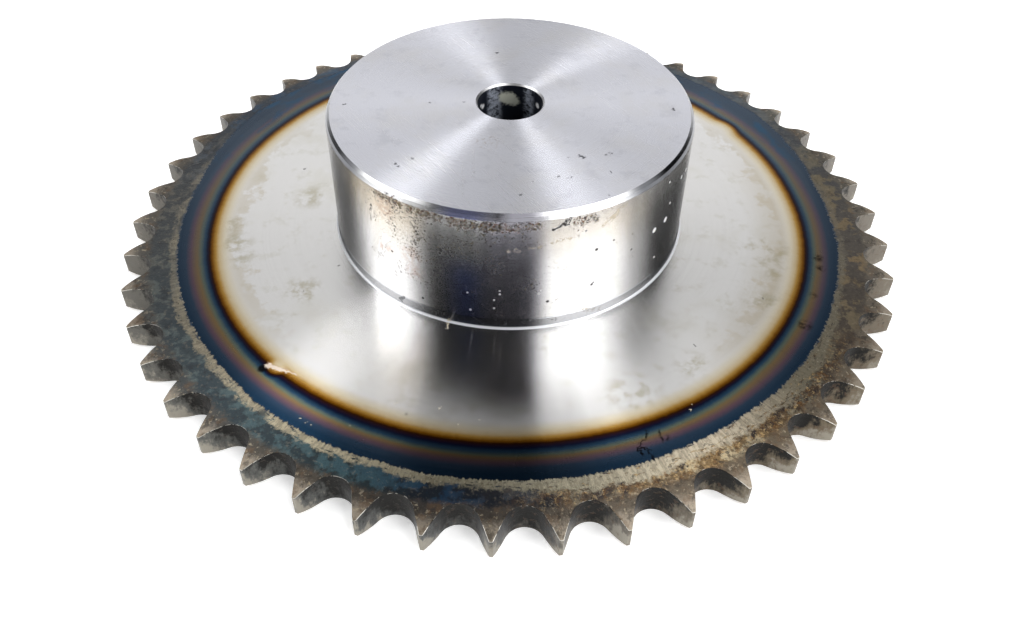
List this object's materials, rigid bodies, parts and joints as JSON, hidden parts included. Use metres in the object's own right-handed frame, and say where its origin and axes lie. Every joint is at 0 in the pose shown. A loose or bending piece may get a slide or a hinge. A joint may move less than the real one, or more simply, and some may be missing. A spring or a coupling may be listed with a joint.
{
  "type": "chain sprocket",
  "caption": "Roller-chain sprocket in one piece of steel: a toothed plate with relieved teeth, a raised round hub on one side and a plain pilot bore.",
  "frame": {"origin": "on the axis of rotation, in the back face of the plate, at the bore's open end", "axes": "+Z along the bore, from the back face towards the hub face; one tooth points along +X"},
  "size_m": [0.2444, 0.2446, 0.05],
  "materials": {
    "steel": "turned steel, bright on the hub and plate; heat-tinted ring and brown-grey, unfinished toothed rim"
  },
  "bodies": {
    "root": {"sprocket": "steel"}
  },
  "joints": []
}
